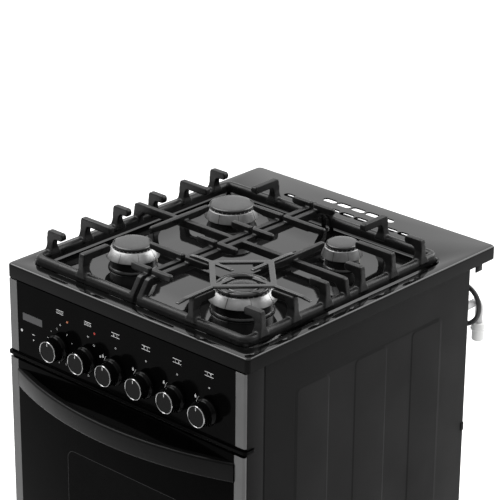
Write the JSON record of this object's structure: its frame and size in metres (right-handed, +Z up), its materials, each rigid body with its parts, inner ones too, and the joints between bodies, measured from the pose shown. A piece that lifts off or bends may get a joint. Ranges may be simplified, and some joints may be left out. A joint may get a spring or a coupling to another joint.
{
  "type": "freestanding gas range",
  "caption": "Freestanding cooker with gas burners under lift-off pan supports, a turn-knob panel, a drop-down oven door and a storage drawer.",
  "frame": {"origin": "on the floor under the middle of the range's box, cord left out", "axes": "+X to the range's right as seen from the front, -Y towards the cook, +Z up"},
  "size_m": [0.5, 0.675, 0.899],
  "materials": {
    "black_plastic": "moulded black",
    "brass": "turned brass",
    "burner_aluminium": "die cast",
    "burner_black": "black enamel",
    "cap_enamel": "satin black enamel",
    "ceramic": "glazed ceramic",
    "cord_rubber": "black rubber sheath",
    "cream_plastic": "moulded",
    "deck_enamel": "gloss black enamel",
    "display_glass": "dark display window",
    "door_glass": "black printed toughened glass",
    "door_steel": "black enamel",
    "drawer_gloss": "gloss black",
    "element_metal": "oxidised sheath",
    "fan_aluminium": "plain",
    "front_frame_enamel": "black enamel",
    "galvanised": "galvanised sheet",
    "glass_wool": "glass wool blanket",
    "grate_enamel": "satin enamelled cast iron",
    "handle_black": "satin black",
    "inner_glass": "toughened glass",
    "knob_black": "gloss black with a bright ring",
    "lamp_glass": "lamp lens",
    "lamp_lens": "translucent lens",
    "ledge_black": "gloss black",
    "oven_enamel": "speckled oven enamel",
    "panel_gloss": "gloss black",
    "pipe_grey": "light grey coating",
    "rack_chrome": "plated wire",
    "sensor_metal": "plain",
    "side_enamel": "satin black enamel",
    "trim_silver": "satin silver",
    "wok_enamel": "satin enamelled steel"
  },
  "bodies": {
    "cabinet": {"side_panel_left": "side_enamel", "side_panel_right": "side_enamel", "back_panel": "galvanised", "base_frame": "galvanised", "front_frame": "front_frame_enamel", "levelling_feet": "black_plastic", "oven_cavity": "oven_enamel", "oven_insulation": "glass_wool", "rack_ladders": "rack_chrome", "oven_rack": "rack_chrome", "grill_element": "element_metal", "fan_cover": "oven_enamel", "fan_motor": "galvanised", "oven_lamp": "lamp_glass", "hob_deck": "deck_enamel", "burner_cups": "burner_black", "crown_front_left": "burner_aluminium", "crown_rear_left": "burner_aluminium", "crown_rear_right": "burner_aluminium", "crown_front_right": "burner_aluminium", "cap_front_left": "cap_enamel", "cap_rear_left": "cap_enamel", "cap_rear_right": "cap_enamel", "cap_front_right": "cap_enamel", "spark_electrodes": "ceramic", "flame_sensors": "sensor_metal", "control_panel": "panel_gloss", "panel_trims": "trim_silver", "panel_ledge": "ledge_black", "timer_display": "display_glass", "indicator_lamps": "lamp_lens", "gas_rail": "brass", "oven_switches": "cream_plastic", "door_hinges": "galvanised", "gas_inlet": "pipe_grey", "terminal_cover": "black_plastic", "mains_cord": "cord_rubber", "cord_coil": "cord_rubber", "cord_plug": "cord_rubber"},
    "door": {"door_frame": "door_steel", "door_glass_outer": "door_glass", "door_glass_inner": "inner_glass", "door_trims": "trim_silver", "door_handle": "handle_black"},
    "drawer": {"drawer_front": "drawer_gloss", "drawer_box": "galvanised"},
    "fan": {"convection_fan": "fan_aluminium"},
    "pan_support_left": {"grate_left": "grate_enamel"},
    "pan_support_right": {"grate_right": "grate_enamel"},
    "wok_ring": {"wok_support": "wok_enamel"},
    "knob_1_body": {"knob_1": "knob_black"},
    "knob_2_body": {"knob_2": "knob_black"},
    "knob_3_body": {"knob_3": "knob_black"},
    "knob_4_body": {"knob_4": "knob_black"},
    "knob_5_body": {"knob_5": "knob_black"},
    "knob_6_body": {"knob_6": "knob_black"},
    "stem_3_body": {"tap_stem_3": "brass"},
    "stem_4_body": {"tap_stem_4": "brass"},
    "stem_5_body": {"tap_stem_5": "brass"},
    "stem_6_body": {"tap_stem_6": "brass"}
  },
  "joints": [
    {"name": "oven_door", "type": "hinge", "parent": "cabinet", "child": "door", "pos_m": [0, -0.245, 0.255], "axis": [1, 0, 0], "range_deg": [0, 90]},
    {"name": "drawer_slide", "type": "slide", "parent": "cabinet", "child": "drawer", "axis": [0, -1, 0], "range_m": [0, 0.3]},
    {"name": "fan_spin", "type": "hinge", "parent": "cabinet", "child": "fan", "pos_m": [0, 0.17, 0.475], "axis": [0, 1, 0], "continuous": true},
    {"name": "pan_support_left_lift", "type": "slide", "parent": "cabinet", "child": "pan_support_left", "axis": [0, 0, 1], "range_m": [0, 0.12]},
    {"name": "pan_support_right_lift", "type": "slide", "parent": "cabinet", "child": "pan_support_right", "axis": [0, 0, 1], "range_m": [0, 0.12]},
    {"name": "wok_ring_lift", "type": "slide", "parent": "pan_support_right", "child": "wok_ring", "axis": [0, 0, 1], "range_m": [0, 0.08]},
    {"name": "knob_1_turn", "type": "hinge", "parent": "cabinet", "child": "knob_1_body", "pos_m": [-0.1336, -0.275, 0.746], "axis": [0, -1, 0], "range_deg": [-345, 0]},
    {"name": "knob_2_turn", "type": "hinge", "parent": "cabinet", "child": "knob_2_body", "pos_m": [-0.073, -0.275, 0.746], "axis": [0, -1, 0], "range_deg": [-270, 0]},
    {"name": "tap_3_push", "type": "slide", "parent": "cabinet", "child": "stem_3_body", "axis": [0, 1, 0], "range_m": [0, 0.003], "stiffness_N_per_m": 900, "springref_m": -0.003},
    {"name": "knob_3_turn", "type": "hinge", "parent": "stem_3_body", "child": "knob_3_body", "pos_m": [-0.0144, -0.275, 0.746], "axis": [0, -1, 0], "range_deg": [0, 210]},
    {"name": "tap_4_push", "type": "slide", "parent": "cabinet", "child": "stem_4_body", "axis": [0, 1, 0], "range_m": [0, 0.003], "stiffness_N_per_m": 900, "springref_m": -0.003},
    {"name": "knob_4_turn", "type": "hinge", "parent": "stem_4_body", "child": "knob_4_body", "pos_m": [0.049, -0.275, 0.746], "axis": [0, -1, 0], "range_deg": [0, 210]},
    {"name": "tap_5_push", "type": "slide", "parent": "cabinet", "child": "stem_5_body", "axis": [0, 1, 0], "range_m": [0, 0.003], "stiffness_N_per_m": 900, "springref_m": -0.003},
    {"name": "knob_5_turn", "type": "hinge", "parent": "stem_5_body", "child": "knob_5_body", "pos_m": [0.1124, -0.275, 0.746], "axis": [0, -1, 0], "range_deg": [0, 210]},
    {"name": "tap_6_push", "type": "slide", "parent": "cabinet", "child": "stem_6_body", "axis": [0, 1, 0], "range_m": [0, 0.003], "stiffness_N_per_m": 900, "springref_m": -0.003},
    {"name": "knob_6_turn", "type": "hinge", "parent": "stem_6_body", "child": "knob_6_body", "pos_m": [0.176, -0.275, 0.746], "axis": [0, -1, 0], "range_deg": [0, 210]}
  ]
}
